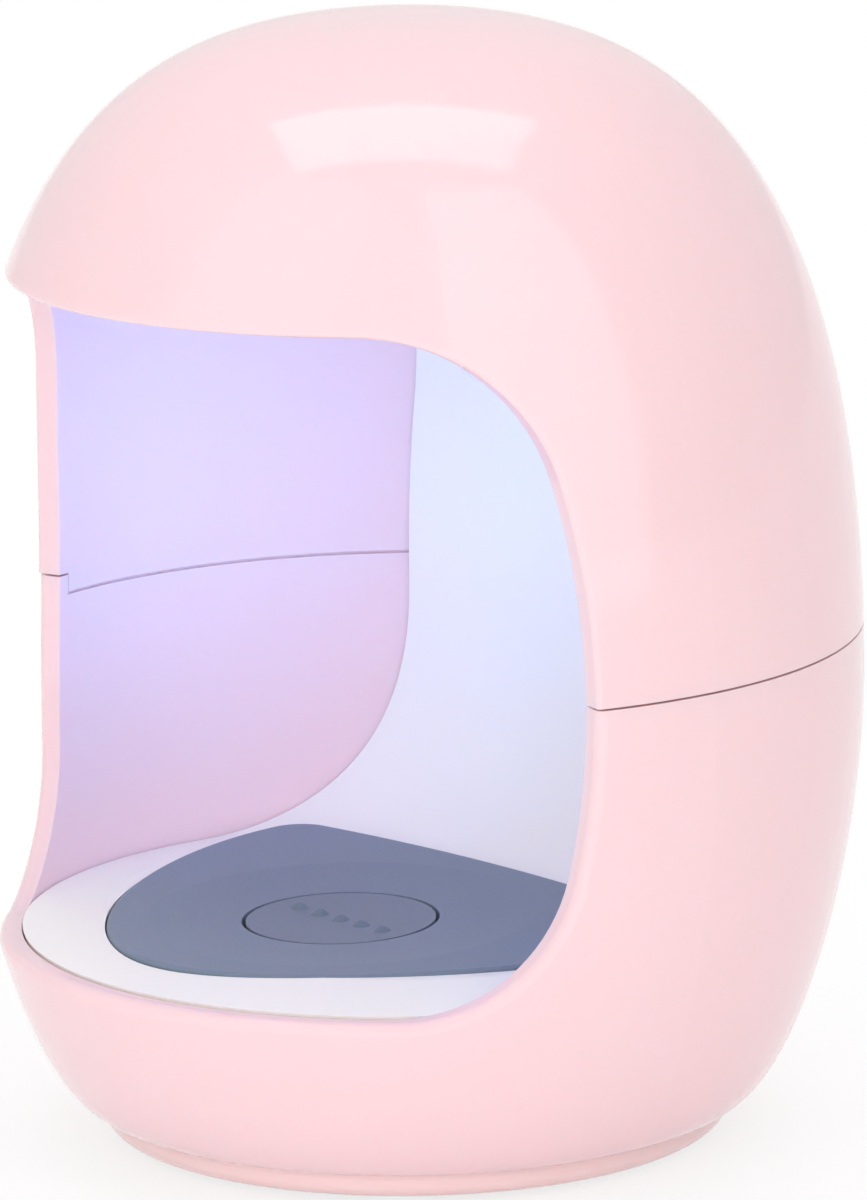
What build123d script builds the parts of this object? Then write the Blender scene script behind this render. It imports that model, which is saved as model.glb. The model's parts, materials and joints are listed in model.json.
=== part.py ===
from build123d import *
from math import cos, radians, sin, sqrt
import os

# A press-to-light nail lamp for one finger: an egg-shaped housing of two snapped shells on a
# round foot, cut open at the front, with a white lining and a soft pad that works a switch.
# Millimetres, +Z up. The origin is the centre of the rubber sole's underside, and the finger
# goes in from the front, which faces -Y.

os.makedirs("parts", exist_ok=True)

# Housing
FOOT_PROUD = 0.4  # how far the rubber sole stands out of the foot
COVER_THICKNESS = 2.0
COVER_EDGE_RADIUS = 22.6  # the foot where it meets the bowl
COVER_SOLE_RADIUS = 21.1  # the foot at its lower edge
COVER_LIP = 0.5  # straight part of the foot's edge
EGG_RADIUS = 32.5
EGG_TOP = 80.6
WIDEST_Z = 33.8
DOME_RISE = 45.6  # upright pull of the dome's side line
DOME_RUN = 12.0  # level pull of the dome's top
BOWL_DROP = 14.0  # upright pull of the bowl's side line
BOWL_FOOT_RADIUS = 23.3
BOWL_TURN_RUN = 4.2
BOWL_TURN_RISE = 0.8
WALL = 2.0

# Parting line between the shells
SEAM_Z = 37.0
SEAM_GAP = 0.15
TONGUE_LENGTH = 1.65
TONGUE_THICKNESS = 1.0
TONGUE_SETBACK = 1.2  # how far the tongue stops short of the opening's edge
TONGUE_CLEARANCE = 0.1
TONGUE_EDGE = 0.25  # bevel that shows as a fine line inside

# Front opening, its profile drawn on the middle plane; from there each side runs outwards and
# forwards at the splay angle, which makes its cut face stand square to the wall
OPENING_SPLAY = 17.0  # degrees
OPENING_DEPTH = 0.0  # from the axis forward to the profile's deepest point
OPENING_DEEPEST_Z = 37.2
SIDE_BOW_RADIUS = 61.5
RIM_Z = 15.0  # level edge under the finger
BROW_Z = 62.5  # level edge over the finger
BROW_CORNER_RADIUS = 13.3
RIM_CORNER_RADIUS = 12.2
RIM_ROUND = 0.7  # rounding of the bowl's edge
BROW_ROUND = 0.35  # rounding of the dome's edge

# Lining of the finger chamber
FLOOR_Z = 15.2
CEILING_Z = 64.4
CHAMBER_BACK = 19.6  # from the axis back to the flat wall
LINER_WALL = 1.6
LINER_GAP = 0.15
COVE_START = 3.0
COVE_RUN = 8.5
COVE_RISE = 14.0
COVE_TOP_Z = 33.4
BROW_COVE_START_Z = 47.0
BROW_COVE_RISE = 10.0
BROW_COVE_RUN = 8.0
BROW_COVE_DEPTH = 11.0  # from the flat wall forward to where the ceiling turns level

# Silicone pad and its disc
PAD_NOSE_Y = -24.3
PAD_NOSE_PULL = 11.0
PAD_HALF_WIDTH = 22.6
PAD_WIDEST_Y = 4.5
PAD_SIDE_PULL = 12.5
PAD_CORNER_Y = 8.0
PAD_BACK_Y = 9.9
PAD_CORNER_RADIUS = 3.0
PAD_NOSE_HEIGHT = 0.95  # above the ring's outer edge
PAD_TILT = 1.2  # degrees, the back higher than the nose
PAD_EDGE_ROUND = 0.3
PAD_RECESS = 0.8
PAD_GAP = 0.15
RING_RUN = 6.0  # the ring round the pad slopes up from its outer edge over this distance
RING_RISE = 1.0
DISH_HALF_WIDTH = 14.0
DISH_DEPTH = 0.5
PRESS_Y = -6.8
PRESS_RADIUS = 6.8
PRESS_THICKNESS = 0.6
PRESS_TRAVEL = 0.5
PRESS_GROOVE = 0.3
PRESS_CLEARANCE = 0.2  # left under the disc at the end of its travel
NUB_RADIUS = 2.0
NUB_CLEARANCE = 0.3

# Tactile switch
SWITCH_SIDE = 6.0
SWITCH_HEIGHT = 3.3
SWITCH_CAP_THICKNESS = 0.3
STEM_RADIUS = 1.7
STEM_PROUD = 1.4
STEM_CLEARANCE = 0.06
STEM_FLANGE_RADIUS = 2.4
STEM_FLANGE_THICKNESS = 0.5
LEG_WIDTH = 0.7
LEG_THICKNESS = 0.3
LEG_LENGTH = 2.6
LEG_PITCH = 4.5

# Control board
BOARD_TOP_Z = 7.5
BOARD_THICKNESS = 1.2
BOARD_RADIUS = 15.8
BOARD_TAIL_WIDTH = 15.0
BOARD_TAIL_Y = 22.6
BOARD_SCREW_X = 12.0
BOARD_SCREW_Y = 2.5
BOSS_RADIUS = 2.3

# Power inlet
USB_WIDTH = 8.94
USB_HEIGHT = 3.16
USB_DEPTH = 7.3
USB_METAL = 0.3
USB_SINK = 0.6  # how far the socket's mouth lies inside the shell's outer face
CONTACT_PLATE_WIDTH = 6.69
CONTACT_PLATE_LENGTH = 4.45
CONTACT_PLATE_THICKNESS = 0.7
PORT_MARGIN = 0.65

# Lamp
LAMP_BOARD_LENGTH = 32.0
LAMP_BOARD_WIDTH = 16.0
LAMP_BOARD_THICKNESS = 1.6
LAMP_BOARD_CORNER = 4.0
LAMP_SCREW_X = 13.0
LED_SIDE = 3.5
LED_HEIGHT = 1.2
LED_PITCH = 6.0
LED_COUNT = 3
LENS_RADIUS = 1.3
WINDOW_GAP = 0.5  # between the lenses and the window
WINDOW_LENGTH = 17.4
WINDOW_WIDTH = 11.0
WINDOW_CORNER = 2.5
WINDOW_FLANGE = 1.5
WINDOW_FLANGE_THICKNESS = 0.8
WINDOW_FIT = 0.1

# Screws
SCREW_HEAD_RADIUS = 2.1
SCREW_HEAD_HEIGHT = 1.1
SCREW_RADIUS = 1.1
SCREW_FIT = 0.05
SCREW_CLEARANCE_RADIUS = 1.35
SCREW_HEAD_CLEARANCE = 0.5
BASE_SCREW_REACH = 18.9  # from the axis
BASE_SCREW_LENGTH = 8.0
BOARD_SCREW_LENGTH = 5.0
LAMP_SCREW_LENGTH = 4.0
CROSS_LENGTH = 2.4
CROSS_WIDTH = 0.5
CROSS_DEPTH = 0.5
POST_RADIUS = 2.6

# Foot
HATCH_RADIUS = 16.2  # opening in the bowl's floor
SPIGOT_HEIGHT = 2.2
SPIGOT_WALL = 1.4
SPIGOT_FIT = 0.15
RUBBER_RADIUS = 14.0
RUBBER_THICKNESS = 1.0
RUBBER_EDGE_ROUND = 0.3

# What the control board carries
CHIP_SIZE = (5.0, 4.0, 1.4)
CHIP_PLACE = (-4.0, 7.0)
CHIP_LEG_COUNT = 4  # on each side
CHIP_LEG_PITCH = 1.27
CHIP_LEG_WIDTH = 0.4
CHIP_LEG_THICKNESS = 0.2
CHIP_LEG_REACH = 1.0
COIL_SIDE = 4.2
COIL_HEIGHT = 2.0
COIL_CORE_RADIUS = 1.5
COIL_DIMPLE = 0.4
COIL_PLACE = (4.5, 7.0)
CAPACITOR_SIZE = (3.2, 1.6, 1.3)
CAPACITOR_PLACES = [(-8.5, -7.0), (8.5, -7.0)]
RESISTOR_SIZE = (2.0, 1.25, 0.5)
RESISTOR_PLACES = [(-2.4, 14.0), (0.8, 14.0), (-2.4, 16.6), (0.8, 16.6)]

# Wires from the control board up behind the lining to the lamp board
WIRE_RADIUS = 0.6
WIRE_X = 6.0
WIRE_LIFT = 0.1  # over the board at each end
WIRE_WALL_GAP = 2.4  # behind the lining
JOINT_SIZE = (2.2, 1.6, 1.3)
CONTROL_JOINT_Y = 12.5
LAMP_JOINT_Y = -1.0
WIRE_SHOULDER_Y = 14.0
WIRE_SHOULDER_Z = 58.0
WIRE_HEEL_Y = 19.5
WIRE_HEEL_Z = 14.0
WIRE_BENDS = [8.0, 20.0, 7.0, 5.0]

cover_bottom = FOOT_PROUD
bowl_floor_z = cover_bottom + COVER_THICKNESS
post_bottom = bowl_floor_z + WALL + LINER_GAP
pad_bottom = FLOOR_Z - PAD_RECESS
pad_face = Plane((0, PAD_NOSE_Y, FLOOR_Z + PAD_NOSE_HEIGHT)).rotated((PAD_TILT, 0, 0))
dish_radius = (DISH_HALF_WIDTH**2 + DISH_DEPTH**2) / (2 * DISH_DEPTH)
dish_centre = pad_face.from_local_coords((0, PRESS_Y - PAD_NOSE_Y, dish_radius - DISH_DEPTH))
disc_top = dish_centre.Z - dish_radius
disc_bottom = disc_top - PRESS_THICKNESS
web_top = disc_bottom - PRESS_TRAVEL - PRESS_CLEARANCE
switch_top = BOARD_TOP_Z + SWITCH_HEIGHT
stem_top = switch_top + STEM_PROUD
board_bottom = BOARD_TOP_Z - BOARD_THICKNESS
ceiling_back_y = CHAMBER_BACK - BROW_COVE_DEPTH
window_top = CEILING_Z + LINER_WALL + WINDOW_FLANGE_THICKNESS
lamp_board_bottom = window_top + WINDOW_GAP + LENS_RADIUS + LED_HEIGHT
lamp_board_top = lamp_board_bottom + LAMP_BOARD_THICKNESS
far = 2 * EGG_RADIUS  # past the housing on every side
splay = (cos(radians(OPENING_SPLAY)), sin(radians(OPENING_SPLAY)))

base_screw_side = BASE_SCREW_REACH / sqrt(2)
base_screw_points = [(x * base_screw_side, y * base_screw_side) for x in (-1, 1) for y in (-1, 1)]
board_screw_points = [(side * BOARD_SCREW_X, BOARD_SCREW_Y) for side in (-1, 1)]
lamp_screw_points = [(side * LAMP_SCREW_X, PRESS_Y) for side in (-1, 1)]
led_points = [((n - (LED_COUNT - 1) / 2) * LED_PITCH, PRESS_Y) for n in range(LED_COUNT)]


def egg_curves(inset):
    """Control points of the bowl's and the dome's side lines, the egg's face drawn in by inset"""
    side = EGG_RADIUS - inset
    foot_x, foot_z = BOWL_FOOT_RADIUS - inset / 2, bowl_floor_z + inset
    bowl = [
        (foot_x, foot_z),
        (foot_x + BOWL_TURN_RUN, foot_z + BOWL_TURN_RISE),
        (side, WIDEST_Z - BOWL_DROP),
        (side, WIDEST_Z),
    ]
    dome = [
        (side, WIDEST_Z),
        (side, WIDEST_Z + DOME_RISE - inset),
        (DOME_RUN, EGG_TOP - inset),
        (0, EGG_TOP - inset),
    ]
    return bowl, dome


def egg_radius(height, inset=0.0):
    """Radius of the egg's face at a height, found by halving the share along its side line"""
    curve = egg_curves(inset)[height > WIDEST_Z]
    low, high = 0.0, 1.0
    for _ in range(40):
        share = (low + high) / 2
        rest = 1 - share
        weights = (rest**3, 3 * rest**2 * share, 3 * rest * share**2, share**3)
        radius, level = (sum(w * point[axis] for w, point in zip(weights, curve)) for axis in (0, 1))
        low, high = (share, high) if level < height else (low, share)
    return radius


def egg(inset):
    """The whole egg, with its face drawn in by inset"""
    bowl, dome = egg_curves(inset)
    with BuildPart() as solid:
        with BuildSketch(Plane.XZ):
            with BuildLine():
                Bezier(*bowl)
                Bezier(*dome)
                Polyline(dome[-1], (0, bowl[0][1]), bowl[0])
            make_face()
        revolve(axis=Axis.Z)
    return solid.part


def opening(grow=0.0):
    """The C-shaped cut through the front, in two splayed halves, its edges moved back by grow"""

    def side_line(height):
        sag = SIDE_BOW_RADIUS - sqrt(SIDE_BOW_RADIUS**2 - (height - OPENING_DEEPEST_Z) ** 2)
        return (grow - OPENING_DEPTH - sag, height)

    low, high = side_line(RIM_Z - grow), side_line(BROW_Z + grow)
    with BuildPart() as block:
        with BuildSketch(Plane.YZ) as profile:
            with BuildLine():
                ThreePointArc(low, side_line(OPENING_DEEPEST_Z), high)
                Polyline(high, (-far, high[1]), (-far, low[1]), low)
            make_face()
            fillet(profile.vertices().sort_by(Axis.X)[-2:].sort_by(Axis.Y)[0], RIM_CORNER_RADIUS)
            fillet(profile.vertices().group_by(Axis.Y)[-1].sort_by(Axis.X)[-1], BROW_CORNER_RADIUS)
        for side in (-1, 1):
            extrude(profile.sketch, amount=far, dir=(side * splay[0], -splay[1], 0))
    return block.part


def lap_ring(outer_inset, inner_inset, setback, low, high):
    """A band of the wall between two depths and two heights, stopping short of the opening"""
    with BuildPart() as ring:
        with BuildSketch(Plane.XY.offset(low)):
            Circle(EGG_RADIUS - outer_inset)
            Circle(EGG_RADIUS - inner_inset, mode=Mode.SUBTRACT)
        extrude(amount=high - low)
        add(opening(setback), mode=Mode.SUBTRACT)
    return ring.part


def round_opening(shell, radius):
    """Round the outer edge of the opening where it leaves the egg's face"""
    middle = egg(WALL / 2)
    cut = opening()
    on_edge = [
        edge
        for edge in shell.edges()
        if cut.distance_to(edge @ 0.5) < 0.01
        and not middle.is_inside(edge @ 0.5)
        and (edge @ 0).Z * (edge @ 1).Z > 0
        and edge.length > 2 * WALL
    ]
    fillet(on_edge, radius)


def chamber(grow):
    """The finger chamber, side to side, with its lined faces moved out by grow"""
    floor, ceiling, back = FLOOR_Z - grow, CEILING_Z + grow, CHAMBER_BACK + grow
    with BuildPart() as block:
        with BuildSketch(Plane.YZ):
            with BuildLine():
                Polyline((ceiling_back_y, ceiling), (-far, ceiling), (-far, floor), (COVE_START, floor))
                Bezier(
                    (COVE_START, floor),
                    (COVE_START + COVE_RUN, floor),
                    (back, COVE_TOP_Z - COVE_RISE),
                    (back, COVE_TOP_Z),
                )
                Line((back, COVE_TOP_Z), (back, BROW_COVE_START_Z))
                Bezier(
                    (back, BROW_COVE_START_Z),
                    (back, BROW_COVE_START_Z + BROW_COVE_RISE),
                    (ceiling_back_y + BROW_COVE_RUN, ceiling),
                    (ceiling_back_y, ceiling),
                )
            make_face()
        extrude(amount=far, both=True)
    return block.part


def ring_slope():
    """The shallow cone that lifts the ring towards the pad, kept within the liner's own walls"""
    ring_radius = egg_radius(FLOOR_Z, WALL + LINER_GAP)
    with BuildPart() as cone:
        with BuildSketch(Plane.XZ):
            with BuildLine():
                Polyline(
                    (0, FLOOR_Z),
                    (ring_radius, FLOOR_Z),
                    (ring_radius - RING_RUN, FLOOR_Z + RING_RISE),
                    (0, FLOOR_Z + RING_RISE),
                    close=True,
                )
            make_face()
        revolve(axis=Axis.Z)
        add(chamber(LINER_WALL), mode=Mode.INTERSECT)
    return cone.part


def pad_outline(grow=0.0):
    """Plan of the finger rest: a blunt nose in front, widening to a bowed back"""
    nose, half, corner = PAD_NOSE_Y - grow, PAD_HALF_WIDTH + grow, PAD_CORNER_Y + grow
    with BuildSketch() as plan:
        with BuildLine():
            for side in (-1, 1):
                Bezier(
                    (0, nose),
                    (side * PAD_NOSE_PULL, nose),
                    (side * half, PAD_WIDEST_Y - PAD_SIDE_PULL),
                    (side * half, PAD_WIDEST_Y),
                )
                Line((side * half, PAD_WIDEST_Y), (side * half, corner))
            ThreePointArc((-half, corner), (0, PAD_BACK_Y + grow), (half, corner))
        make_face()
        fillet(plan.vertices().sort_by(Axis.Y)[-2:], PAD_CORNER_RADIUS)
    return plan.sketch


def screw(length):
    """A pan-head screw with a cross recess, its seat at the origin and its shank up +Z"""
    with BuildPart() as piece:
        with BuildSketch(Plane.XY.offset(-SCREW_HEAD_HEIGHT)):
            Circle(SCREW_HEAD_RADIUS)
        extrude(amount=SCREW_HEAD_HEIGHT)
        fillet(piece.edges().sort_by(Axis.Z)[0], SCREW_HEAD_HEIGHT / 2)
        with BuildSketch(Plane.XY):
            Circle(SCREW_RADIUS)
        extrude(amount=length)
        chamfer(piece.edges().sort_by(Axis.Z)[-1], SCREW_RADIUS / 2)
        with BuildSketch(Plane.XY.offset(-SCREW_HEAD_HEIGHT)):
            Rectangle(CROSS_LENGTH, CROSS_WIDTH)
            Rectangle(CROSS_WIDTH, CROSS_LENGTH)
        extrude(amount=CROSS_DEPTH, mode=Mode.SUBTRACT)
    return piece.part


# Upper shell: the dome, with a tongue round its lower edge that slips inside the bowl's wall
with BuildPart() as upper_shell:
    add(egg(0))
    add(egg(WALL), mode=Mode.SUBTRACT)
    split(bisect_by=Plane.XY.offset(SEAM_Z), keep=Keep.TOP)
    add(lap_ring(WALL - TONGUE_THICKNESS, WALL, TONGUE_SETBACK, SEAM_Z - TONGUE_LENGTH, SEAM_Z))
    tongue_end = upper_shell.edges().filter_by(GeomType.CIRCLE).group_by(Axis.Z)[0]
    chamfer(tongue_end.sort_by(SortBy.RADIUS)[0], TONGUE_EDGE)
    add(opening(), mode=Mode.SUBTRACT)
    round_opening(upper_shell, BROW_ROUND)

upper_shell.part.label = "upper_shell"
export_step(upper_shell.part, "parts/upper_shell.step")
print("upper shell", round(upper_shell.part.volume))

# Lower shell: the bowl, with a step inside its upper edge for the tongue, a hatch in its
# floor, four screw holes round the hatch and the port for the power inlet at the back
usb_mouth_y = egg_radius(BOARD_TOP_Z + USB_HEIGHT / 2) - USB_SINK
port_z = BOARD_TOP_Z + USB_HEIGHT / 2
with BuildPart() as lower_shell:
    add(egg(0))
    add(egg(WALL), mode=Mode.SUBTRACT)
    split(bisect_by=Plane.XY.offset(SEAM_Z - SEAM_GAP), keep=Keep.BOTTOM)
    add(opening(), mode=Mode.SUBTRACT)
    round_opening(lower_shell, RIM_ROUND)
    add(
        lap_ring(
            WALL - TONGUE_THICKNESS - TONGUE_CLEARANCE,
            2 * WALL,
            TONGUE_SETBACK - TONGUE_CLEARANCE,
            SEAM_Z - TONGUE_LENGTH,
            SEAM_Z,
        ),
        mode=Mode.SUBTRACT,
    )
    with BuildSketch(Plane.XY.offset(bowl_floor_z)):
        Circle(HATCH_RADIUS)
        with Locations(*base_screw_points):
            Circle(SCREW_CLEARANCE_RADIUS)
    extrude(amount=WALL, mode=Mode.SUBTRACT)
    with BuildSketch(Plane.XZ.offset(-BOARD_TAIL_Y)):
        with Locations((0, port_z)):
            SlotOverall(USB_WIDTH + 2 * PORT_MARGIN, USB_HEIGHT + 2 * PORT_MARGIN)
    extrude(amount=-far, mode=Mode.SUBTRACT)

lower_shell.part.label = "lower_shell"
export_step(lower_shell.part, "parts/lower_shell.step")
print("lower shell", round(lower_shell.part.volume))

# Base cover: the foot, with a spigot that centres it in the hatch
with BuildPart() as base_cover:
    lip_z = bowl_floor_z - COVER_LIP
    with BuildSketch(Plane.XZ):
        with BuildLine():
            Polyline((COVER_EDGE_RADIUS, lip_z), (COVER_EDGE_RADIUS, bowl_floor_z), (0, bowl_floor_z))
            Polyline((0, bowl_floor_z), (0, cover_bottom), (COVER_SOLE_RADIUS, cover_bottom))
            Bezier(
                (COVER_SOLE_RADIUS, cover_bottom),
                (COVER_EDGE_RADIUS, cover_bottom),
                (COVER_EDGE_RADIUS, lip_z),
            )
        make_face()
    revolve(axis=Axis.Z)
    with BuildSketch(Plane.XY.offset(bowl_floor_z)):
        Circle(HATCH_RADIUS - SPIGOT_FIT)
        Circle(HATCH_RADIUS - SPIGOT_FIT - SPIGOT_WALL, mode=Mode.SUBTRACT)
    extrude(amount=SPIGOT_HEIGHT)
    with BuildSketch(Plane.XY.offset(cover_bottom)):
        with Locations(*base_screw_points):
            Circle(SCREW_CLEARANCE_RADIUS)
    extrude(amount=COVER_THICKNESS, mode=Mode.SUBTRACT)
    with BuildSketch(Plane.XY.offset(cover_bottom)):
        with Locations(*base_screw_points):
            Circle(SCREW_HEAD_RADIUS + SCREW_HEAD_CLEARANCE)
    extrude(amount=SCREW_HEAD_HEIGHT, mode=Mode.SUBTRACT)
    with BuildSketch(Plane.XY.offset(cover_bottom)):
        Circle(RUBBER_RADIUS)
    extrude(amount=RUBBER_THICKNESS - FOOT_PROUD, mode=Mode.SUBTRACT)

base_cover.part.label = "base_cover"
export_step(base_cover.part, "parts/base_cover.step")
print("base cover", round(base_cover.part.volume))

# Inner liner: floor ring, cove, flat back and ceiling in one, with posts for the screws
with BuildPart() as inner_liner:
    add(chamber(LINER_WALL))
    with BuildSketch(Plane.XY.offset(post_bottom)):
        with Locations(*base_screw_points):
            Circle(POST_RADIUS)
    extrude(amount=COVE_TOP_Z - post_bottom)
    with BuildSketch(Plane.XY.offset(BOARD_TOP_Z)):
        with Locations(*board_screw_points):
            Circle(BOSS_RADIUS)
    extrude(amount=FLOOR_Z - BOARD_TOP_Z)
    with BuildSketch(Plane.XY.offset(CEILING_Z)):
        with Locations(*lamp_screw_points):
            Circle(BOSS_RADIUS)
    extrude(amount=lamp_board_bottom - CEILING_Z)
    add(chamber(0), mode=Mode.SUBTRACT)
    add(ring_slope())
    add(egg(WALL + LINER_GAP), mode=Mode.INTERSECT)
    with BuildSketch(Plane.XY.offset(pad_bottom)):
        add(pad_outline(PAD_GAP))
    extrude(amount=COVE_TOP_Z - pad_bottom, mode=Mode.SUBTRACT)
    with BuildSketch(Plane.XY.offset(BOARD_TOP_Z)):
        with Locations((0, PRESS_Y)):
            Circle(NUB_RADIUS + 2 * NUB_CLEARANCE)
    extrude(amount=FLOOR_Z - BOARD_TOP_Z, mode=Mode.SUBTRACT)
    with BuildSketch(Plane.XY.offset(post_bottom)):
        with Locations(*base_screw_points):
            Circle(SCREW_RADIUS + SCREW_FIT)
    extrude(amount=BASE_SCREW_LENGTH, mode=Mode.SUBTRACT)
    with BuildSketch(Plane.XY.offset(BOARD_TOP_Z)):
        with Locations(*board_screw_points):
            Circle(SCREW_RADIUS + SCREW_FIT)
    extrude(amount=BOARD_SCREW_LENGTH, mode=Mode.SUBTRACT)
    with BuildSketch(Plane.XY.offset(lamp_board_bottom)):
        with Locations(*lamp_screw_points):
            Circle(SCREW_RADIUS + SCREW_FIT)
    extrude(amount=-LAMP_SCREW_LENGTH, mode=Mode.SUBTRACT)
    with BuildSketch(Plane.XY.offset(CEILING_Z)):
        with Locations((0, PRESS_Y)):
            RectangleRounded(WINDOW_LENGTH, WINDOW_WIDTH, WINDOW_CORNER)
    extrude(amount=LINER_WALL, mode=Mode.SUBTRACT)

inner_liner.part.label = "inner_liner"
export_step(inner_liner.part, "parts/inner_liner.step")
print("inner liner", round(inner_liner.part.volume), len(inner_liner.part.solids()))

# Press pad: the finger rest, its top tilted and dished round the disc, with a thin web
# under the disc
with BuildPart() as press_pad:
    with BuildSketch(Plane.XY.offset(pad_bottom)):
        add(pad_outline())
    extrude(amount=far)
    split(bisect_by=pad_face, keep=Keep.BOTTOM)
    fillet(press_pad.faces().sort_by(Axis.Z)[-1].edges(), PAD_EDGE_ROUND)
    with Locations(dish_centre):
        Sphere(dish_radius, mode=Mode.SUBTRACT)
    with BuildSketch(Plane.XY.offset(web_top)):
        with Locations((0, PRESS_Y)):
            Circle(PRESS_RADIUS + PRESS_GROOVE)
    extrude(amount=far, mode=Mode.SUBTRACT)
    with BuildSketch(Plane.XY.offset(pad_bottom)):
        with Locations((0, PRESS_Y)):
            Circle(NUB_RADIUS + NUB_CLEARANCE)
    extrude(amount=web_top - pad_bottom, mode=Mode.SUBTRACT)

press_pad.part.label = "press_pad"
export_step(press_pad.part, "parts/press_pad.step")
print("press pad", round(press_pad.part.volume))

# Press disc: the round centre of the dish, with the nub that reaches down to the switch
with BuildPart() as press_disc:
    with BuildSketch(Plane.XY.offset(disc_bottom)):
        with Locations((0, PRESS_Y)):
            Circle(PRESS_RADIUS)
    extrude(amount=2 * PRESS_THICKNESS)
    with BuildSketch(Plane.XY.offset(stem_top)):
        with Locations((0, PRESS_Y)):
            Circle(NUB_RADIUS)
    extrude(amount=disc_bottom - stem_top)
    with Locations(dish_centre):
        Sphere(dish_radius, mode=Mode.SUBTRACT)

press_disc.part.label = "press_disc"
export_step(press_disc.part, "parts/press_disc.step")

# Switch body: a moulded cup under a metal cap, hollow for the stem's flange
flange_top = switch_top - 2 * SWITCH_CAP_THICKNESS
cavity_bottom = flange_top - STEM_FLANGE_THICKNESS - PRESS_TRAVEL - PRESS_CLEARANCE
with BuildPart() as switch_body:
    with BuildSketch(Plane.XY.offset(BOARD_TOP_Z)):
        with Locations((0, PRESS_Y)):
            RectangleRounded(SWITCH_SIDE, SWITCH_SIDE, LEG_WIDTH)
    extrude(amount=SWITCH_HEIGHT - SWITCH_CAP_THICKNESS)
    with BuildSketch(Plane.XY.offset(cavity_bottom)):
        with Locations((0, PRESS_Y)):
            Circle(STEM_FLANGE_RADIUS + 2 * STEM_CLEARANCE)
    extrude(amount=flange_top - cavity_bottom, mode=Mode.SUBTRACT)
    with BuildSketch(Plane.XY.offset(flange_top)):
        with Locations((0, PRESS_Y)):
            Circle(STEM_RADIUS + STEM_CLEARANCE)
    extrude(amount=SWITCH_CAP_THICKNESS, mode=Mode.SUBTRACT)

switch_body.part.label = "switch_body"
export_step(switch_body.part, "parts/switch_body.step")

# Switch cap: the thin metal plate over the body
with BuildPart() as switch_cap:
    with BuildSketch(Plane.XY.offset(switch_top - SWITCH_CAP_THICKNESS)):
        with Locations((0, PRESS_Y)):
            RectangleRounded(SWITCH_SIDE, SWITCH_SIDE, LEG_WIDTH)
            Circle(STEM_RADIUS + 2 * STEM_CLEARANCE, mode=Mode.SUBTRACT)
    extrude(amount=SWITCH_CAP_THICKNESS)

switch_cap.part.label = "switch_cap"
export_step(switch_cap.part, "parts/switch_cap.step")

# Switch stem: the plunger that the nub rests on, held in by its flange
with BuildPart() as switch_stem:
    with BuildSketch(Plane.XY.offset(flange_top - STEM_FLANGE_THICKNESS)):
        with Locations((0, PRESS_Y)):
            Circle(STEM_FLANGE_RADIUS)
    extrude(amount=STEM_FLANGE_THICKNESS)
    with BuildSketch(Plane.XY.offset(flange_top)):
        with Locations((0, PRESS_Y)):
            Circle(STEM_RADIUS)
    extrude(amount=stem_top - flange_top)

switch_stem.part.label = "switch_stem"
export_step(switch_stem.part, "parts/switch_stem.step")

# Switch legs: four flat pins that go down through the board
leg_places = [(x * LEG_PITCH / 2, PRESS_Y + y * LEG_PITCH / 2) for x in (-1, 1) for y in (-1, 1)]
with BuildPart() as switch_legs:
    with BuildSketch(Plane.XY.offset(BOARD_TOP_Z - LEG_LENGTH)):
        with Locations(*leg_places):
            Rectangle(LEG_THICKNESS, LEG_WIDTH)
    extrude(amount=LEG_LENGTH)

switch_legs.part.label = "switch_legs"
export_step(switch_legs.part, "parts/switch_legs.step")

# Control board: a round board with a tail that carries the power inlet to the wall
with BuildPart() as control_board:
    with BuildSketch(Plane.XY.offset(board_bottom)):
        Circle(BOARD_RADIUS)
        with Locations((0, BOARD_TAIL_Y / 2)):
            Rectangle(BOARD_TAIL_WIDTH, BOARD_TAIL_Y)
        with Locations(*board_screw_points):
            Circle(SCREW_CLEARANCE_RADIUS, mode=Mode.SUBTRACT)
        with Locations(*leg_places):
            Rectangle(2 * LEG_THICKNESS, LEG_WIDTH + LEG_THICKNESS, mode=Mode.SUBTRACT)
    extrude(amount=BOARD_THICKNESS)

control_board.part.label = "control_board"
export_step(control_board.part, "parts/control_board.step")

# What stands on the control board
with BuildPart() as control_chip:
    with BuildSketch(Plane.XY.offset(BOARD_TOP_Z)):
        with Locations(CHIP_PLACE):
            Rectangle(CHIP_SIZE[0], CHIP_SIZE[1])
    extrude(amount=CHIP_SIZE[2])
    chamfer(control_chip.edges().group_by(Axis.Z)[-1], CHIP_LEG_THICKNESS)

control_chip.part.label = "control_chip"
export_step(control_chip.part, "parts/control_chip.step")

with BuildPart() as chip_legs:
    for side in (-1, 1):
        for n in range(CHIP_LEG_COUNT):
            leg_x = CHIP_PLACE[0] + (n - (CHIP_LEG_COUNT - 1) / 2) * CHIP_LEG_PITCH
            body_y = CHIP_PLACE[1] + side * CHIP_SIZE[1] / 2
            knee_y, toe_y = body_y + side * CHIP_LEG_REACH / 2, body_y + side * CHIP_LEG_REACH
            foot_z, knee_z = BOARD_TOP_Z, BOARD_TOP_Z + CHIP_SIZE[2] / 2
            with BuildSketch(Plane.YZ.offset(leg_x)):
                with BuildLine():
                    Polyline(
                        (body_y, knee_z),
                        (knee_y, knee_z),
                        (knee_y, foot_z + CHIP_LEG_THICKNESS),
                        (toe_y, foot_z + CHIP_LEG_THICKNESS),
                        (toe_y, foot_z),
                        (knee_y - side * CHIP_LEG_THICKNESS, foot_z),
                        (knee_y - side * CHIP_LEG_THICKNESS, knee_z - CHIP_LEG_THICKNESS),
                        (body_y, knee_z - CHIP_LEG_THICKNESS),
                        close=True,
                    )
                make_face()
            extrude(amount=CHIP_LEG_WIDTH / 2, both=True)

chip_legs.part.label = "chip_legs"
export_step(chip_legs.part, "parts/chip_legs.step")

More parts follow.
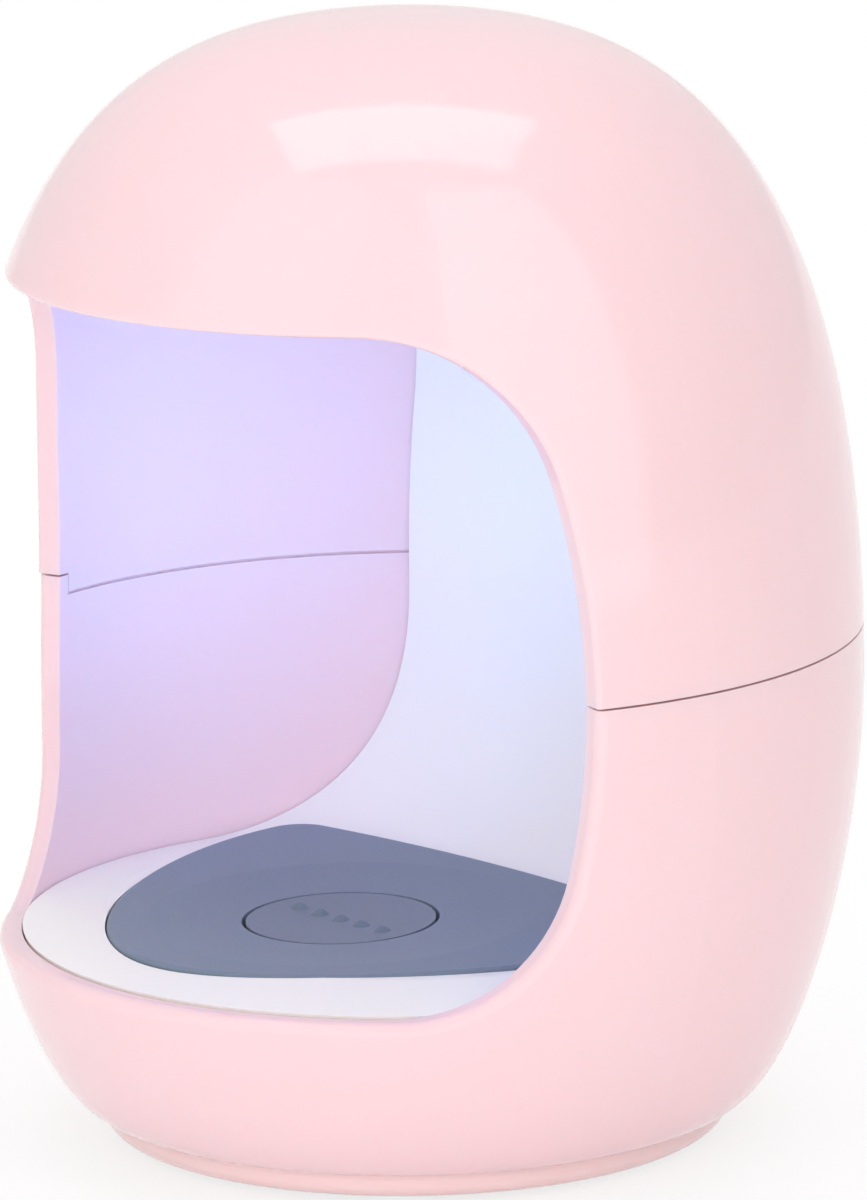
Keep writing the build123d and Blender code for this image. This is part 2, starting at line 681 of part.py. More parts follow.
with BuildPart() as drive_coil:
    with BuildSketch(Plane.XY.offset(BOARD_TOP_Z)):
        with Locations(COIL_PLACE):
            RectangleRounded(COIL_SIDE, COIL_SIDE, COIL_SIDE / 6)
    extrude(amount=COIL_HEIGHT)
    with BuildSketch(Plane.XY.offset(BOARD_TOP_Z + COIL_HEIGHT)):
        with Locations(COIL_PLACE):
            Circle(COIL_CORE_RADIUS)
    extrude(amount=-COIL_DIMPLE, mode=Mode.SUBTRACT)

drive_coil.part.label = "drive_coil"
export_step(drive_coil.part, "parts/drive_coil.step")

with BuildPart() as board_capacitors:
    with BuildSketch(Plane.XY.offset(BOARD_TOP_Z)):
        with Locations(*CAPACITOR_PLACES):
            Rectangle(CAPACITOR_SIZE[0], CAPACITOR_SIZE[1])
    extrude(amount=CAPACITOR_SIZE[2])

board_capacitors.part.label = "board_capacitors"
export_step(board_capacitors.part, "parts/board_capacitors.step")

with BuildPart() as board_resistors:
    with BuildSketch(Plane.XY.offset(BOARD_TOP_Z)):
        with Locations(*RESISTOR_PLACES):
            Rectangle(RESISTOR_SIZE[0], RESISTOR_SIZE[1])
    extrude(amount=RESISTOR_SIZE[2])

board_resistors.part.label = "board_resistors"
export_step(board_resistors.part, "parts/board_resistors.step")

# Power inlet: a flat-oval metal shell with its contact tongue inside
with BuildPart() as usb_socket:
    with BuildSketch(Plane.XZ.offset(-usb_mouth_y)):
        with Locations((0, port_z)):
            SlotOverall(USB_WIDTH, USB_HEIGHT)
            SlotOverall(USB_WIDTH - 2 * USB_METAL, USB_HEIGHT - 2 * USB_METAL, mode=Mode.SUBTRACT)
    extrude(amount=USB_DEPTH)

usb_socket.part.label = "usb_socket"
export_step(usb_socket.part, "parts/usb_socket.step")

with BuildPart() as usb_tongue:
    block_depth = USB_DEPTH - CONTACT_PLATE_LENGTH - USB_SINK
    with BuildSketch(Plane.XZ.offset(USB_DEPTH - usb_mouth_y)):
        with Locations((0, port_z)):
            SlotOverall(USB_WIDTH - 2 * USB_METAL, USB_HEIGHT - 2 * USB_METAL)
    extrude(amount=-block_depth)
    with BuildSketch(Plane.XZ.offset(USB_DEPTH - block_depth - usb_mouth_y)):
        with Locations((0, port_z)):
            RectangleRounded(
                CONTACT_PLATE_WIDTH, CONTACT_PLATE_THICKNESS, CONTACT_PLATE_THICKNESS / 3
            )
    extrude(amount=-CONTACT_PLATE_LENGTH)

usb_tongue.part.label = "usb_tongue"
export_step(usb_tongue.part, "parts/usb_tongue.step")

# Lamp window: a clear plate that drops into the ceiling from above, on its flange
with BuildPart() as lamp_window:
    with BuildSketch(Plane.XY.offset(CEILING_Z)):
        with Locations((0, PRESS_Y)):
            RectangleRounded(
                WINDOW_LENGTH - 2 * WINDOW_FIT, WINDOW_WIDTH - 2 * WINDOW_FIT, WINDOW_CORNER
            )
    extrude(amount=LINER_WALL)
    with BuildSketch(Plane.XY.offset(CEILING_Z + LINER_WALL)):
        with Locations((0, PRESS_Y)):
            RectangleRounded(
                WINDOW_LENGTH + 2 * WINDOW_FLANGE,
                WINDOW_WIDTH + 2 * WINDOW_FLANGE,
                WINDOW_CORNER + WINDOW_FLANGE,
            )
    extrude(amount=WINDOW_FLANGE_THICKNESS)

lamp_window.part.label = "lamp_window"
export_step(lamp_window.part, "parts/lamp_window.step")

# Lamp board and what it carries, lens side down
with BuildPart() as led_board:
    with BuildSketch(Plane.XY.offset(lamp_board_bottom)):
        with Locations((0, PRESS_Y)):
            RectangleRounded(LAMP_BOARD_LENGTH, LAMP_BOARD_WIDTH, LAMP_BOARD_CORNER)
        with Locations(*lamp_screw_points):
            Circle(SCREW_CLEARANCE_RADIUS, mode=Mode.SUBTRACT)
    extrude(amount=LAMP_BOARD_THICKNESS)

led_board.part.label = "led_board"
export_step(led_board.part, "parts/led_board.step")

with BuildPart() as led_bodies:
    with BuildSketch(Plane.XY.offset(lamp_board_bottom)):
        with Locations(*led_points):
            Rectangle(LED_SIDE, LED_SIDE)
    extrude(amount=-LED_HEIGHT)

led_bodies.part.label = "led_bodies"
export_step(led_bodies.part, "parts/led_bodies.step")

with BuildPart() as led_lenses:
    with Locations(*[(x, y, lamp_board_bottom - LED_HEIGHT) for x, y in led_points]):
        Sphere(LENS_RADIUS, arc_size1=-90, arc_size2=0, align=(Align.CENTER, Align.CENTER, Align.MAX))

led_lenses.part.label = "led_lenses"
export_step(led_lenses.part, "parts/led_lenses.step")

# Wires: each leaves its soldered joint on the lamp board, drops behind the flat back of the
# lining and comes forward to its joint on the control board
wire_back_y = CHAMBER_BACK + LINER_WALL + WIRE_WALL_GAP + WIRE_RADIUS
lamp_wire_z = lamp_board_top + WIRE_LIFT + WIRE_RADIUS
control_wire_z = BOARD_TOP_Z + WIRE_LIFT + WIRE_RADIUS


def lead(x):
    """One wire, in the upright plane at x, from the lamp board to the control board"""
    with BuildPart() as wire:
        with BuildLine(Plane.YZ.offset(x)) as route:
            FilletPolyline(
                (LAMP_JOINT_Y + JOINT_SIZE[1] / 2, lamp_wire_z),
                (WIRE_SHOULDER_Y, lamp_wire_z),
                (wire_back_y, WIRE_SHOULDER_Z),
                (wire_back_y, WIRE_HEEL_Z),
                (WIRE_HEEL_Y, control_wire_z),
                (CONTROL_JOINT_Y + JOINT_SIZE[1] / 2, control_wire_z),
                radius=WIRE_BENDS,
            )
        path = route.wire()
        with BuildSketch(Plane(path @ 0, z_dir=path % 0)):
            Circle(WIRE_RADIUS)
        sweep(path=path)
    print("wire", round(path.length, 1), "mm long, volume", round(wire.part.volume, 1))
    return wire.part


with BuildPart() as lead_red:
    add(lead(-WIRE_X))

lead_red.part.label = "lead_red"
export_step(lead_red.part, "parts/lead_red.step")

with BuildPart() as lead_black:
    add(lead(WIRE_X))

lead_black.part.label = "lead_black"
export_step(lead_black.part, "parts/lead_black.step")

with BuildPart() as lead_joints:
    for joint_y, joint_z in ((LAMP_JOINT_Y, lamp_board_top), (CONTROL_JOINT_Y, BOARD_TOP_Z)):
        with BuildSketch(Plane.XY.offset(joint_z)):
            with Locations((-WIRE_X, joint_y), (WIRE_X, joint_y)):
                Rectangle(JOINT_SIZE[0], JOINT_SIZE[1])
        extrude(amount=JOINT_SIZE[2])

lead_joints.part.label = "lead_joints"
export_step(lead_joints.part, "parts/lead_joints.step")

# Screws
with BuildPart() as base_screws:
    with Locations(*[(x, y, cover_bottom + SCREW_HEAD_HEIGHT) for x, y in base_screw_points]):
        add(screw(BASE_SCREW_LENGTH))

base_screws.part.label = "base_screws"
export_step(base_screws.part, "parts/base_screws.step")

with BuildPart() as board_screws:
    with Locations(*[(x, y, board_bottom) for x, y in board_screw_points]):
        add(screw(BOARD_SCREW_LENGTH))

board_screws.part.label = "board_screws"
export_step(board_screws.part, "parts/board_screws.step")

with BuildPart() as lamp_screws:
    with Locations(*[Location((x, y, lamp_board_top), (180, 0, 0)) for x, y in lamp_screw_points]):
        add(screw(LAMP_SCREW_LENGTH))

lamp_screws.part.label = "lamp_screws"
export_step(lamp_screws.part, "parts/lamp_screws.step")

# Rubber sole: a round pad let into the foot
with BuildPart() as rubber_sole:
    with BuildSketch(Plane.XY):
        Circle(RUBBER_RADIUS)
    extrude(amount=RUBBER_THICKNESS)
    fillet(rubber_sole.edges().sort_by(Axis.Z)[0], RUBBER_EDGE_ROUND)

rubber_sole.part.label = "rubber_sole"
export_step(rubber_sole.part, "parts/rubber_sole.step")
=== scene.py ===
# %% [markdown]
# # A press-to-light nail lamp
# The real object is a small glossy egg that stands on a round foot. A finger goes in through
# the open front and rests on a silicone pad; pressing the round centre of the pad lights the
# lamp in the ceiling. Its shapes were built beforehand as solids, so this lesson loads them
# and leaves them where they are. What is made here is how they look: the finishes, the marks
# that are too fine for the solids, the studio and the camera.

# %% Load the solids
import json
import math

import bpy
import numpy as np
from mathutils import Matrix, Vector
from mathutils.bvhtree import BVHTree


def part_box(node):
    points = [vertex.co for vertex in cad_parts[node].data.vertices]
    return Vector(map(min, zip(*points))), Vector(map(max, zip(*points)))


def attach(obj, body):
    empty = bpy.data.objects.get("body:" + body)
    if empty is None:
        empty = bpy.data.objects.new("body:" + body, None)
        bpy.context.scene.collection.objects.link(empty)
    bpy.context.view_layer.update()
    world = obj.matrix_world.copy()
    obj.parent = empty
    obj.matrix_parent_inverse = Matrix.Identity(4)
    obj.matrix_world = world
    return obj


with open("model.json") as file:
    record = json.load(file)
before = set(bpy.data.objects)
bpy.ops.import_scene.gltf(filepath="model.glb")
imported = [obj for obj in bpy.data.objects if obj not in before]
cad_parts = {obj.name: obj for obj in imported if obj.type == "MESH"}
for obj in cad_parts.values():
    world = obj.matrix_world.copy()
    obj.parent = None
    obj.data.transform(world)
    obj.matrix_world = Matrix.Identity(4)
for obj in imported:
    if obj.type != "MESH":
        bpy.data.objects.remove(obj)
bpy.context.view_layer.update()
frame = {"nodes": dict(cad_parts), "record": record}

nodes = frame["nodes"]

# %% [markdown]
# ## The camera
# A long lens from well back keeps the egg's upright sides nearly parallel, which is how such a
# product is photographed. The view was found by fitting the egg's outline, so the camera is
# written as a place, the direction it looks in, and the small roll of a camera that isn't
# quite level. A camera in Blender looks along its own -Z, so its three axes are the columns of
# its matrix.

# %% Camera
CAMERA_PLACE = Vector((0.4455, -0.3755, 0.1651))
LOOK_AZIMUTH = 49.7  # degrees round the egg, from the front towards +X
LOOK_DOWN = 12.275  # degrees below level
CAMERA_ROLL = -0.814  # degrees
LENS = 250.55  # mm
FRAME_LONG_SIDE = 36  # mm, the height of an upright picture
NEAREST_SEEN = 0.01
FARTHEST_SEEN = 20
UP = Vector((0, 0, 1))


def camera_axes(azimuth, down, roll):
    """Right, up and backward unit vectors: the level pair turned by the roll about the view"""
    a, e, r = (math.radians(angle) for angle in (azimuth, down, roll))
    ahead = Vector((-math.sin(a) * math.cos(e), math.cos(a) * math.cos(e), -math.sin(e)))
    level = ahead.cross(UP).normalized()
    upright = level.cross(ahead)
    right = level * math.cos(r) + upright * math.sin(r)
    up = upright * math.cos(r) - level * math.sin(r)
    return right, up, -ahead


camera_data = bpy.data.cameras.new("studio_camera")
camera_data.lens = LENS
camera_data.sensor_width = FRAME_LONG_SIDE
camera_data.clip_start = NEAREST_SEEN
camera_data.clip_end = FARTHEST_SEEN
camera = bpy.data.objects.new("studio_camera", camera_data)
bpy.context.scene.collection.objects.link(camera)
turn = Matrix(camera_axes(LOOK_AZIMUTH, LOOK_DOWN, CAMERA_ROLL)).transposed().to_4x4()
camera.matrix_world = Matrix.Translation(CAMERA_PLACE) @ turn
bpy.context.scene.camera = camera
print("camera", round(CAMERA_PLACE.length, 3), "m from the origin, lens", LENS, "mm")

# %% [markdown]
# ## Shader maths as plain expressions
# A finish is easier to read as a formula than as wires. The first class wraps one output of a
# node, so that `1 - mask * 0.3` adds the nodes that work it out: Math nodes for numbers,
# Vector Math for places and directions, Mix for colours. The second holds a node tree while it
# is made, and any other node comes from its one method, which takes the node's type, its
# settings and what goes into its sockets. The third is a material, with the few steps that
# every finish here needs.

# %% Sockets that do sums
class Socket:
    """An output of a node; a sum on it adds the node that works it out"""

    def __init__(self, maker, output):
        self.maker = maker
        self.output = output

    def sum(self, operation, first, second):
        """Mix if either value is a colour, Vector Math if either has three parts, or else Math"""
        lengths = {value.output.type if isinstance(value, Socket) else np.size(value)
                   for value in (first, second)}
        if lengths & {"RGBA", 4}:
            settings = {"data_type": "RGBA", "blend_type": operation}
            inputs = {0: 1.0, 6: first, 7: second}
            return self.maker.node("ShaderNodeMix", settings, inputs, output=2)
        kind = "ShaderNodeVectorMath" if lengths & {"VECTOR", 3} else "ShaderNodeMath"
        return self.maker.node(kind, {"operation": operation}, {0: first, 1: second})

    def __add__(self, other):
        return self.sum("ADD", self, other)

    def __sub__(self, other):
        return self.sum("SUBTRACT", self, other)

    def __rsub__(self, other):
        return self.sum("SUBTRACT", other, self)

    def __mul__(self, other):
        return self.sum("MULTIPLY", self, other)

    def __truediv__(self, other):
        return self.sum("DIVIDE", self, other)

    __radd__ = __add__
    __rmul__ = __mul__

    def ramp(self, low, high):
        """0 up to low, 1 from high on, and a straight rise between them"""
        share = (self - low) / (high - low)
        return self.sum("MAXIMUM", self.sum("MINIMUM", share, 1.0), 0.0)


# %% A node tree in the making
class Nodes:
    """A node tree, with the one method that adds any node to it"""

    def __init__(self, tree):
        self.tree = tree

    def feed(self, socket, value):
        """Link another node's output to a socket, or write a number or a row of them there"""
        if isinstance(value, Socket):
            self.tree.links.new(value.output, socket)
        elif socket.type in ("RGBA", "VECTOR") and np.isscalar(value):
            socket.default_value = [value] * len(socket.default_value)
        else:
            socket.default_value = value

    def node(self, kind, settings=None, inputs=None, output=0):
        """Add a node, set it up, feed it, and hand back the output asked for"""
        made = self.tree.nodes.new(kind)
        for name, value in (settings or {}).items():
            setattr(made, name, value)
        for name, value in (inputs or {}).items():
            self.feed(made.inputs[name], value)
        return Socket(self, made.outputs[output])


class Finish(Nodes):
    """A material in the making, with its Principled shader and the place on the object"""

    def __init__(self, name, **fixed):
        self.material = bpy.data.materials.new(name)
        self.material.use_nodes = True
        super().__init__(self.material.node_tree)
        self.shader = self.tree.nodes["Principled BSDF"]
        self.give(**fixed)
        self.place = self.node("ShaderNodeTexCoord", output="Object")

    def give(self, **values):
        """Feed the shader's sockets, named with _ for each space"""
        for socket, value in values.items():
            self.feed(self.shader.inputs[socket.replace("_", " ")], value)
        return self.material

    def noise(self, size, detail=2.0, roughness=0.5):
        """Noise whose blotches are about size metres across, from 0 to 1"""
        inputs = {"Vector": self.place, "Scale": 1 / size, "Detail": detail,
                  "Roughness": roughness}
        return self.node("ShaderNodeTexNoise", inputs=inputs)

    def blend(self, mask, first, second):
        """Colour first where mask is 0 and colour second where it is 1"""
        settings = {"data_type": "RGBA"}
        return self.node("ShaderNodeMix", settings, {0: mask, 6: first, 7: second}, output=2)

    def bump(self, height, distance):
        """Relief seen in the light alone: distance is its height in metres where height is 1"""
        self.give(Normal=self.node("ShaderNodeBump",
                                   inputs={"Height": height, "Distance": distance}))


def colour(red, green, blue):
    """A colour written as on a screen, 0 to 255, turned into the linear light a shader wants"""
    shares = [part / 255 for part in (red, green, blue)]
    linear = [s / 12.92 if s <= 0.04045 else ((s + 0.055) / 1.055) ** 2.4 for s in shares]
    return (*linear, 1.0)


print("screen grey 128 is", round(colour(128, 128, 128)[0], 3), "in linear light")

# %% [markdown]
# ## The pink shells
# Injection-moulded plastic with a polished mould: even in colour, with a deep gloss outside.
# A polished moulding is never optically flat, so a very low bump with waves just under a
# centimetre long makes the reflections waver a little, and a far finer grain softens their
# edges. Inside, the mould wasn't polished as far, so the chamber's walls are satin. The outside
# is found from the surface's own normal: it points away from the egg's axis there and towards
# it inside, and the cut faces of the opening, which do neither, count as outside. A little
# light also passes through the plastic's skin, which keeps its seams from going black.

# %% Shell finish
PINK = colour(247, 215, 219)
PINK_DEEP = colour(244, 208, 213)
# painted light: the foot's two pinks are lighter than the shell's, to lift the shade that the egg
# casts on the foot
FOOT_PINK_PAINTED_LIGHT = colour(255, 222, 222)
FOOT_PINK_DEEP_PAINTED_LIGHT = colour(253, 217, 217)
OUTER_ROUGHNESS = 0.08
INNER_ROUGHNESS = 0.38
SKIN_DEPTH_SHARE = 0.4  # share of the light that enters the plastic
SKIN_DEPTH = 0.0009
CLOUD_LENGTH = 0.018  # of the faint clouds in the pink
WAVE_LENGTH = 0.009  # of the waver in the gloss
WAVE_HEIGHT = 0.00006
GRAIN_LENGTH = 0.0006
UPRIGHT_SHARE = 0.3  # how much a height counts against a distance from the axis
INWARD = -0.015  # dot product of place and normal up to which a face counts as inner
OUTWARD = -0.005  # and from which it counts as outer


def outward(finish):
    """1 on faces that point away from the upright axis or along it, 0 on inner walls"""
    normal = finish.node("ShaderNodeNewGeometry", output="Normal")
    facing = finish.node("ShaderNodeVectorMath", {"operation": "DOT_PRODUCT"},
                         {0: finish.place * (1, 1, UPRIGHT_SHARE), 1: normal}, output="Value")
    return facing.ramp(INWARD, OUTWARD)


def moulded_pink(name, main, deep):
    """Two close pinks in clouds; gloss outside and satin inside, both spread by the grain"""
    finish = Finish(name, IOR=1.5, Subsurface_Weight=SKIN_DEPTH_SHARE,
                    Subsurface_Radius=(1.0, 0.6, 0.6), Subsurface_Scale=SKIN_DEPTH)
    outer = outward(finish)
    clouds = finish.noise(CLOUD_LENGTH, detail=3.0)
    grain = finish.noise(GRAIN_LENGTH, detail=1.0)
    waves = finish.noise(WAVE_LENGTH, detail=1.0)
    skin = finish.blend(clouds * 0.6 + grain * 0.1, main, deep)
    rough = INNER_ROUGHNESS + outer * (OUTER_ROUGHNESS - INNER_ROUGHNESS) + grain * 0.03
    finish.bump(waves * outer + grain * 0.02, WAVE_HEIGHT)
    return finish.give(Base_Color=skin, Roughness=rough)


finishes = {"shell_pink": moulded_pink("shell_pink", PINK, PINK_DEEP),
            "foot_pink": moulded_pink("foot_pink", FOOT_PINK_PAINTED_LIGHT, FOOT_PINK_DEEP_PAINTED_LIGHT)}
print("finishes so far:", *finishes)

# %% [markdown]
# ## The white liner
# One white moulding with a soft gloss. Two whites that differ by a shade keep its broad back
# wall from looking dead flat, and a fine grain breaks up its highlights.

# %% Liner finish
WHITE = colour(250, 246, 242)
WHITE_DEEP = colour(246, 243, 240)
LINER_CLOUD_LENGTH = 0.022
LINER_GRAIN_LENGTH = 0.0004
LINER_GRAIN_HEIGHT = 0.000004


def moulded_white():
    """White in two close shades, with its gloss spread by the grain"""
    finish = Finish("liner_white", IOR=1.5)
    clouds = finish.noise(LINER_CLOUD_LENGTH, detail=3.0)
    grain = finish.noise(LINER_GRAIN_LENGTH, detail=1.0)
    skin = finish.blend(clouds, WHITE, WHITE_DEEP)
    finish.bump(grain, LINER_GRAIN_HEIGHT)
    return finish.give(Base_Color=skin, Roughness=0.30 + grain * 0.08)


finishes["liner_white"] = moulded_white()
print("finishes so far:", *finishes)

# %% [markdown]
# ## The silicone pad
# Slate silicone from a spark-eroded mould: matt, with a grain finer than a fingerprint's
# ridges, and a trace of sheen at low angles from its dust-soft skin. Silicone is never quite
# opaque, so light also travels a little way inside it, and the groove round the disc stays
# grey instead of black. The disc's face is painted a little darker than the pad, as painted
# shade for the bottom of the pad's dish, and fingers leave it a little smoother: the distance
# from the disc's axis tells the two apart.

# %% Silicone finish
SLATE = colour(123, 135, 152)
SLATE_DEEP = colour(113, 127, 148)
DISC_PAINTED_SHADE = 0.12  # painted shade: share of its light that the disc's face is painted darker by, for the shade in the pad's dish
GROOVE_RADIUS = 0.0070  # from the disc's axis, in the groove round it
GROOVE_STEP = 0.00005  # on each side of that radius, where the two tones meet
SILICONE_CLOUD_LENGTH = 0.012
SILICONE_GRAIN_LENGTH = 0.00018
SILICONE_GRAIN_HEIGHT = 0.00003

disc_low, disc_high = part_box("press_disc")
disc_middle = (disc_low + disc_high) / 2


def silicone():
    """Two slates in clouds and grain; within the groove's radius painted darker for shade, and
    smoother
    """
    finish = Finish("silicone_slate", IOR=1.43, Sheen_Weight=0.12, Sheen_Roughness=0.4,
                    Subsurface_Weight=0.25, Subsurface_Radius=(0.9, 1.0, 1.0),
                    Subsurface_Scale=0.0008)
    clouds = finish.noise(SILICONE_CLOUD_LENGTH, detail=4.0)
    grain = finish.noise(SILICONE_GRAIN_LENGTH, detail=2.0, roughness=0.6)
    skin = finish.blend(clouds * 0.6 + grain * 0.4, SLATE, SLATE_DEEP)
    aside = (finish.place - tuple(disc_middle)) * (1, 1, 0)
    distance = finish.node("ShaderNodeVectorMath", {"operation": "LENGTH"}, {0: aside},
                           output="Value")
    disc_shade_and_polish = 1 - distance.ramp(GROOVE_RADIUS - GROOVE_STEP, GROOVE_RADIUS + GROOVE_STEP)
    finish.bump(grain, SILICONE_GRAIN_HEIGHT)
    # painted shade: the disc's face is painted darker than the pad, for the shade at the bottom
    # of the pad's dish
    return finish.give(Base_Color=skin * (1 - disc_shade_and_polish * DISC_PAINTED_SHADE),
                       Roughness=0.50 + grain * 0.18 - disc_shade_and_polish * 0.05)


finishes["silicone_slate"] = silicone()
print("finishes so far:", *finishes)

# %% [markdown]
# ## What is inside
# Boards, chips, wires and screws only show when the lamp is opened or seen through its
# window, and the sole and the inlet are small and plain, but each still has its own finish.
# They differ in colour, roughness and the size of their grain, so one function makes them all
# from a table: its columns are the name, the light and the dark tone, the grain's length, the
# roughness and the height of the bump.

# %% Inner finishes
def plain(name, light, dark, grain_length, rough, bump, **fixed):
    """A two-tone grain of one length, with its roughness spread by the same grain"""
    finish = Finish(name, **fixed)
    grain = finish.noise(grain_length, detail=3.0)
    if bump:
        finish.bump(grain, bump)
    skin = finish.blend(grain, colour(*dark), colour(*light))
    return finish.give(Base_Color=skin, Roughness=rough + grain * 0.12)


grains = [
    ("black_plastic", (48, 48, 50), (34, 34, 36), 0.0004, 0.4, 2e-6),
    ("capacitor_tan", (186, 152, 116), (168, 134, 100), 0.0004, 0.4, 0.0),
    ("led_white", (240, 240, 236), (228, 228, 222), 0.0005, 0.4, 0.0),
    ("wire_red", (198, 34, 36), (176, 26, 28), 0.0008, 0.42, 2e-6),
    ("wire_black", (40, 40, 42), (28, 28, 30), 0.0008, 0.42, 2e-6),
    ("rubber_grey", (92, 92, 96), (76, 76, 80), 0.0003, 0.7, 1e-5),
    ("board_green", (34, 112, 66), (26, 92, 54), 0.002, 0.3, 0.0),
    ("board_white", (238, 238, 236), (228, 228, 226), 0.002, 0.35, 0.0),
    ("coil_grey", (84, 84, 88), (66, 66, 70), 0.0003, 0.55, 4e-6),
]
metal_grains = [
    ("plated_metal", (226, 224, 218), (196, 194, 190), 0.0006, 0.22, 3e-6),
    ("inlet_steel", (222, 222, 224), (190, 190, 194), 0.0008, 0.24, 2e-6),
    ("screw_steel", (206, 206, 208), (170, 170, 174), 0.0005, 0.28, 2e-6),
    ("contact_gold", (236, 200, 128), (218, 178, 104), 0.0003, 0.2, 1e-6),
]
finishes |= {row[0]: plain(*row) for row in grains}
finishes |= {row[0]: plain(*row, Metallic=1.0) for row in metal_grains}
print(len(finishes), "finishes so far")

# %% [markdown]
# ## Clear plastic and lit lenses
# The window is polished clear plastic, so it transmits. The lenses under the lamp board are
# lit: they glow in the violet-blue that such lamps cure with.

# %% Window and lens finishes
GLOW = (0.30, 0.40, 1.0, 1.0)
GLOW_STRENGTH = 3.0


def clear(name, tint, haze, glow=0.0):
    """Clear plastic whose tint and haze both waver with a fine grain, lit from inside by glow"""
    finish = Finish(name, IOR=1.49, Transmission_Weight=1.0, Emission_Color=GLOW,
                    Emission_Strength=glow)
    grain = finish.noise(GRAIN_LENGTH, detail=2.0)
    return finish.give(Base_Color=finish.blend(grain, tint, colour(250, 250, 255)),
                       Roughness=haze + grain * 0.05)


finishes["window_clear"] = clear("window_clear", colour(244, 244, 252), 0.04)
finishes["lens_clear"] = clear("lens_clear", colour(236, 236, 252), 0.10, GLOW_STRENGTH)
print(len(finishes), "finishes in all")

# %% Dress every node in the finish that its record names
for part in frame["record"]["subparts"]:
    slots = nodes[part["node"]].data.materials
    slots.clear()
    slots.append(finishes[part["material_slot"]])

# %% [markdown]
# ## Turned pieces
# The domes on the disc and the contacts of the inlet are both small round-backed solids, so
# one function turns them: a profile of radius and rise is carried round an axis. The circle
# may be squeezed to an ellipse, which is what makes a flat contact out of a rod. All points of
# one solid are worked out as an array, which is then set down at each centre.

# %% A profile carried round an axis
def turned(name, profile, centres, steps, across=((1, 0, 0), (0, 1, 0)), along=(0, 0, 1)):
    """
    Closed solids of revolution. A point of the profile (radius, rise) goes to
    centre + radius * (cos t * across[0] + sin t * across[1]) + rise * along
    for t round the full circle; the first and last points lie on the axis, so that
    each solid closes in two poles.
    """
    radius, rise = np.array(profile, dtype=float).T
    angle = np.linspace(0, 2 * np.pi, steps, endpoint=False)
    circle = np.outer(np.cos(angle), across[0]) + np.outer(np.sin(angle), across[1])
    rings = radius[:, None, None] * circle + rise[:, None, None] * np.array(along, dtype=float)
    one = np.concatenate([rings[1:-1].reshape(-1, 3), rings[[0, -1], 0]])
    here = np.arange(steps)
    there = (here + 1) % steps
    last = (len(rings) - 3) * steps  # first point of the last ring that isn't a pole
    start = np.arange(0, last, steps)[:, None]
    quads = np.stack([start + here, start + steps + here, start + steps + there, start + there],
                     axis=-1)
    pole = np.full(steps, last + steps)
    top = np.stack([pole, here, there], axis=-1)
    bottom = np.stack([pole + 1, last + there, last + here], axis=-1)
    shift = np.arange(len(centres))[:, None, None] * len(one)
    faces = (quads.reshape(1, -1, 4) + shift).reshape(-1, 4).tolist()
    faces += (np.concatenate([top, bottom])[None] + shift).reshape(-1, 3).tolist()
    points = (one[None] + np.array(centres, dtype=float)[:, None]).reshape(-1, 3)
    mesh = bpy.data.meshes.new(name)
    mesh.from_pydata(points, [], faces)
    mesh.shade_smooth()
    piece = bpy.data.objects.new(name, mesh)
    bpy.context.scene.collection.objects.link(piece)
    return piece


# %% [markdown]
# ## The mark on the disc
# A raised mark tells the finger where to press. Here it is a plain row of small domes, moulded
# in one with the silicone. They stand in the dish of the disc, so the height of each is felt
# for with a plumb line: a ray dropped from above onto the disc's own mesh.

# %% Tactile domes
DOME_RADIUS = 0.00085
DOME_HEIGHT = 0.00040
DOME_PITCH = 0.0023
DOME_COUNT = 5
DOME_SINK = 0.00012  # below the dish, so that no light shows under the rim
DOME_STEEPNESS = 1.5  # 1 would be a paraboloid; more than 1 gives its rim a soft foot
DOME_RINGS = 9
PLUMB_START = 0.001  # above the disc

disc_mesh = nodes["press_disc"].data
disc_faces = BVHTree.FromPolygons([v.co for v in disc_mesh.vertices],
                                  [f.vertices for f in disc_mesh.polygons])


def disc_height(x):
    """Height at which a plumb line over the disc's middle line meets its dished face"""
    above = Vector((x, disc_middle.y, disc_high.z + PLUMB_START))
    return disc_faces.ray_cast(above, -UP)[0].z


def spread(count, pitch):
    """Places of count things in a row, pitch apart and centred on 0"""
    return (np.arange(count) - (count - 1) / 2) * pitch


share = np.linspace(0, 1, DOME_RINGS)
dome_rise = DOME_HEIGHT * (1 - share**2) ** DOME_STEEPNESS - DOME_SINK * share
dome = [*zip(DOME_RADIUS * share, dome_rise), (0, -2 * DOME_SINK)]
dome_places = [(x, disc_middle.y, disc_height(x)) for x in spread(DOME_COUNT, DOME_PITCH)]
tactile_domes = turned("tactile_domes", dome, dome_places, steps=32)
tactile_domes.data.materials.append(finishes["silicone_slate"])
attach(tactile_domes, "disc")
print(DOME_COUNT, "domes at", [round(1000 * place[2], 2) for place in dome_places], "mm")

# %% [markdown]
# ## The inlet's contacts
# The black plate inside the power inlet carries two rows of twelve gold contacts, half a
# millimetre apart. On the real one they are stamped from sheet and moulded into the plate, so
# only their backs stand proud by a hair. Each is a rod squeezed to a flat ellipse and half
# sunk, and its ends are drawn in so that they catch the light like pressed metal.

# %% Contacts on both faces of the plate
CONTACTS_IN_ROW = 12
CONTACT_PITCH = 0.0005
CONTACT_WIDTH = 0.00028
CONTACT_RISE = 0.00003
CONTACT_LENGTH = 0.0030
CONTACT_FROM_TIP = 0.0006
CONTACT_NOSE = [(0, 0), (0.6, 0.00004), (1, 0.0002)]  # share of the width, metres from the end
PLATE_REACH = 0.002  # of the thin end of the plate, which carries the contacts

